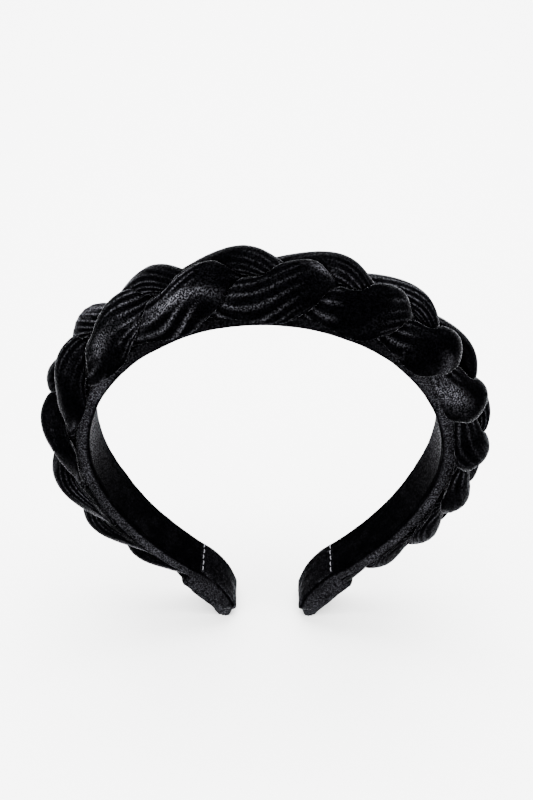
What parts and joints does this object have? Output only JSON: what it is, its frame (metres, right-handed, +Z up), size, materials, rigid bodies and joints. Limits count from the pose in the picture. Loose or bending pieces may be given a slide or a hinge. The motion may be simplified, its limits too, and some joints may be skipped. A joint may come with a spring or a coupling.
{
  "type": "braided headband",
  "caption": "Padded braided headband: a springy C-shaped hoop covered in velvet, with a plait of stuffed velvet tubes over the top and a sewn cap on each tip.",
  "frame": {"origin": "on the ground under the middle of the band, which stands on its two tips with the crown up", "axes": "+X to the right-hand tip seen from the front, +Y from the front edge to the back edge, along the axis of the head opening, +Z up to the crown"},
  "size_m": [0.1586, 0.0324, 0.1751],
  "materials": {
    "velvet": "black velvet, short dense pile with crushed patches",
    "velvet_lining": "black velvet strip, pile rubbed flat in patches",
    "hoop_plastic": "moulded, smooth",
    "foam": "thin open-cell foam",
    "fibre": "loose polyester fibre",
    "thread": "spun polyester sewing thread"
  },
  "bodies": {
    "left_half": {"lining_left": "velvet_lining", "base_cover_left": "velvet", "foam_pad_left": "foam", "hoop_core_left": "hoop_plastic", "end_cap_left": "velvet", "braid_binding_left": "thread", "cap_stitches_left": "thread", "strand_cover_1_left": "velvet", "strand_fill_1_left": "fibre", "strand_cover_2_left": "velvet", "strand_fill_2_left": "fibre", "strand_cover_3_left": "velvet", "strand_fill_3_left": "fibre"},
    "right_half": {"lining_right": "velvet_lining", "base_cover_right": "velvet", "foam_pad_right": "foam", "hoop_core_right": "hoop_plastic", "end_cap_right": "velvet", "braid_binding_right": "thread", "cap_stitches_right": "thread", "strand_cover_1_right": "velvet", "strand_fill_1_right": "fibre", "strand_cover_2_right": "velvet", "strand_fill_2_right": "fibre", "strand_cover_3_right": "velvet", "strand_fill_3_right": "fibre"}
  },
  "joints": [
    {"name": "crown_flex", "type": "hinge", "parent": "left_half", "child": "right_half", "pos_m": [0, 0, 0.15985], "axis": [0, -1, 0], "range_deg": [-6, 24], "stiffness_Nm_per_rad": 1}
  ]
}
